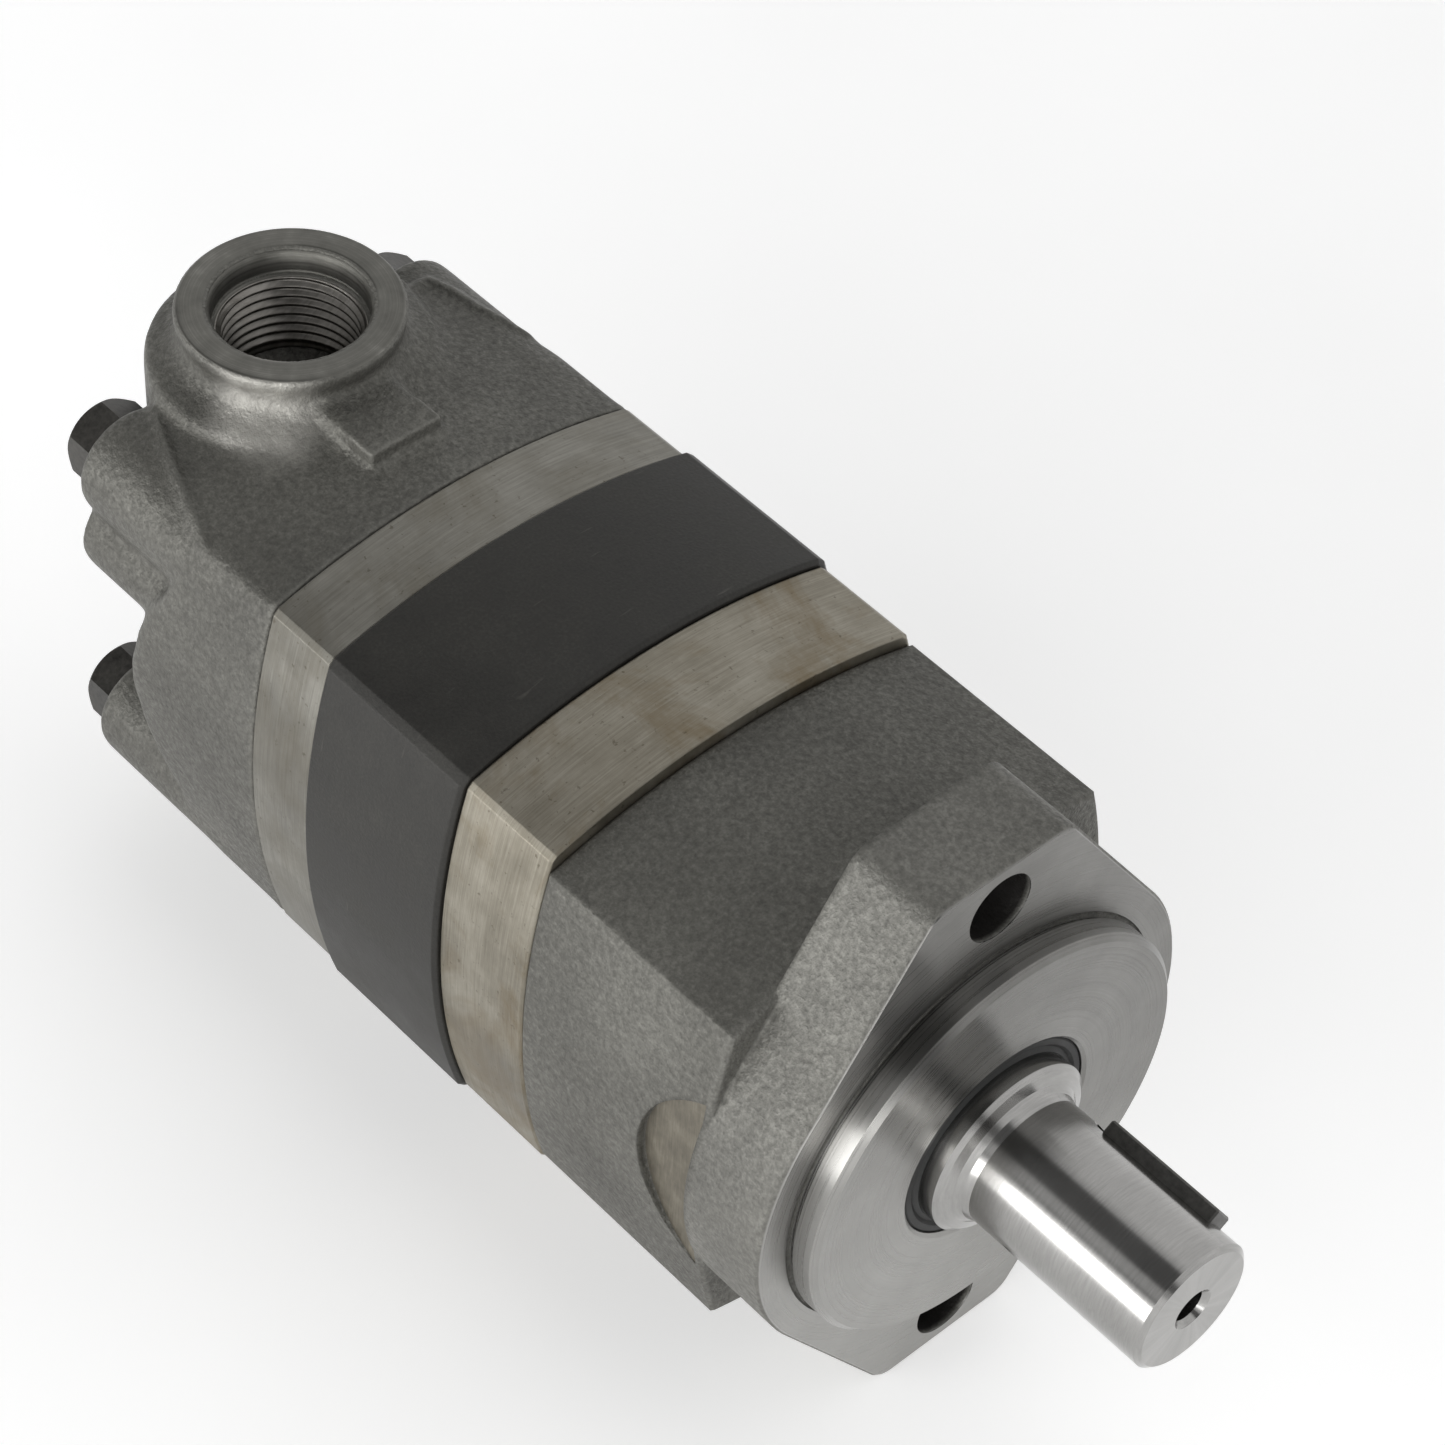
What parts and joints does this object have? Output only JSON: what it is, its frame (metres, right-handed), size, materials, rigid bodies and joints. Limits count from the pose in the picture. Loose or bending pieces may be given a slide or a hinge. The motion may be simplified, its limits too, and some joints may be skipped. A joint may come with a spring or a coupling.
{
  "type": "hydraulic motor",
  "caption": "Orbital hydraulic motor: two-bolt flange with round pilot, keyed straight shaft, plate stack clamped by long cap screws, rear valve housing with side ports.",
  "frame": {"origin": "centre of the mounting face of the flange, on the shaft axis", "axes": "+X along the output shaft and out of the motor, +Z along the axis of the upper port, Y completes a right-handed set; the two mounting bolts lie on the Z line"},
  "size_m": [0.2574, 0.096, 0.125],
  "materials": {
    "cast_iron": "rough cast, unpainted",
    "black_steel": "black phosphate",
    "ground_steel": "ground",
    "polished_steel": "polished",
    "machined_steel": "machined",
    "bearing_steel": "ground and polished",
    "spring_steel": "drawn wire",
    "dark_steel": "black oxide",
    "seal_rubber": "moulded"
  },
  "bodies": {
    "motor_body": {"bearing_housing": "cast_iron", "wear_plate": "ground_steel", "gerotor_ring": "black_steel", "valve_plate": "ground_steel", "valve_housing": "cast_iron", "cap_screws": "dark_steel", "dust_seal": "seal_rubber", "shaft_seal": "seal_rubber", "seal_backup_ring": "machined_steel", "front_bearing_cup": "bearing_steel", "rear_bearing_cup": "bearing_steel", "bearing_spacer": "bearing_steel", "body_seal_1": "seal_rubber", "body_seal_2": "seal_rubber", "body_seal_3": "seal_rubber", "body_seal_4": "seal_rubber", "case_drain_plug": "machined_steel", "drain_plug_seal": "seal_rubber", "balance_pins": "machined_steel", "balance_springs": "spring_steel"},
    "shaft": {"output_shaft": "polished_steel", "shaft_key": "dark_steel", "front_bearing_cone": "bearing_steel", "rear_bearing_cone": "bearing_steel"},
    "front_roller_set": {"front_bearing_rollers": "bearing_steel", "front_bearing_cage": "bearing_steel"},
    "rear_roller_set": {"rear_bearing_rollers": "bearing_steel", "rear_bearing_cage": "bearing_steel"},
    "orbit": {"drive_spacer": "machined_steel"},
    "star": {"gerotor_star": "machined_steel"},
    "main_drive": {"main_drive": "machined_steel"},
    "valve_drive": {"valve_drive": "machined_steel"},
    "disc_valve": {"disc_valve": "machined_steel"},
    "balance_ring": {"balance_ring": "machined_steel", "balance_seal_outer": "seal_rubber", "balance_seal_inner": "seal_rubber"},
    "roller_1": {"roller_1": "bearing_steel"},
    "roller_2": {"roller_2": "bearing_steel"},
    "roller_3": {"roller_3": "bearing_steel"},
    "roller_4": {"roller_4": "bearing_steel"},
    "roller_5": {"roller_5": "bearing_steel"},
    "roller_6": {"roller_6": "bearing_steel"},
    "roller_7": {"roller_7": "bearing_steel"}
  },
  "joints": [
    {"name": "shaft_spin", "type": "hinge", "parent": "motor_body", "child": "shaft", "pos_m": [0, 0, 0], "axis": [1, 0, 0], "continuous": true},
    {"name": "front_rollers_turn", "type": "hinge", "parent": "motor_body", "child": "front_roller_set", "pos_m": [-0.0208, 0, 0], "axis": [1, 0, 0], "continuous": true},
    {"name": "rear_rollers_turn", "type": "hinge", "parent": "motor_body", "child": "rear_roller_set", "pos_m": [-0.0503, 0, 0], "axis": [1, 0, 0], "continuous": true},
    {"name": "star_orbit", "type": "hinge", "parent": "motor_body", "child": "orbit", "pos_m": [-0.102, 0, 0], "axis": [1, 0, 0], "continuous": true},
    {"name": "star_spin", "type": "hinge", "parent": "orbit", "child": "star", "pos_m": [-0.1009, 0.0026, 0], "axis": [1, 0, 0], "continuous": true},
    {"name": "main_drive_spin", "type": "hinge", "parent": "orbit", "child": "main_drive", "pos_m": [-0.043, 0, 0], "axis": [0.9987, -0.0519, 0], "continuous": true},
    {"name": "valve_drive_spin", "type": "hinge", "parent": "orbit", "child": "valve_drive", "pos_m": [-0.1456, 0, 0], "axis": [0.9975, 0.0709, 0], "continuous": true},
    {"name": "disc_valve_spin", "type": "hinge", "parent": "motor_body", "child": "disc_valve", "pos_m": [-0.142, 0, 0], "axis": [1, 0, 0], "continuous": true},
    {"name": "balance_ring_slide", "type": "slide", "parent": "motor_body", "child": "balance_ring", "axis": [-1, 0, 0], "range_m": [0, 0.0003], "stiffness_N_per_m": 3000, "springref_m": -0.002, "deforming": ["balance_springs"]},
    {"name": "roller_1_spin", "type": "hinge", "parent": "motor_body", "child": "roller_1", "pos_m": [-0.1009, 0.029, 0], "axis": [1, 0, 0], "continuous": true},
    {"name": "roller_2_spin", "type": "hinge", "parent": "motor_body", "child": "roller_2", "pos_m": [-0.1009, 0.01808, 0.02267], "axis": [1, 0, 0], "continuous": true},
    {"name": "roller_3_spin", "type": "hinge", "parent": "motor_body", "child": "roller_3", "pos_m": [-0.1009, -0.00645, 0.02827], "axis": [1, 0, 0], "continuous": true},
    {"name": "roller_4_spin", "type": "hinge", "parent": "motor_body", "child": "roller_4", "pos_m": [-0.1009, -0.02613, 0.01258], "axis": [1, 0, 0], "continuous": true},
    {"name": "roller_5_spin", "type": "hinge", "parent": "motor_body", "child": "roller_5", "pos_m": [-0.1009, -0.02613, -0.01258], "axis": [1, 0, 0], "continuous": true},
    {"name": "roller_6_spin", "type": "hinge", "parent": "motor_body", "child": "roller_6", "pos_m": [-0.1009, -0.00645, -0.02827], "axis": [1, 0, 0], "continuous": true},
    {"name": "roller_7_spin", "type": "hinge", "parent": "motor_body", "child": "roller_7", "pos_m": [-0.1009, 0.01808, -0.02267], "axis": [1, 0, 0], "continuous": true}
  ],
  "couplings": [
    {"joint": "front_rollers_turn", "follows": "shaft_spin", "ratio": 0.456},
    {"joint": "rear_rollers_turn", "follows": "shaft_spin", "ratio": 0.45},
    {"joint": "star_orbit", "follows": "shaft_spin", "ratio": -6},
    {"joint": "star_spin", "follows": "shaft_spin", "ratio": 7},
    {"joint": "main_drive_spin", "follows": "shaft_spin", "ratio": 7},
    {"joint": "valve_drive_spin", "follows": "shaft_spin", "ratio": 7},
    {"joint": "disc_valve_spin", "follows": "shaft_spin", "ratio": 1}
  ]
}
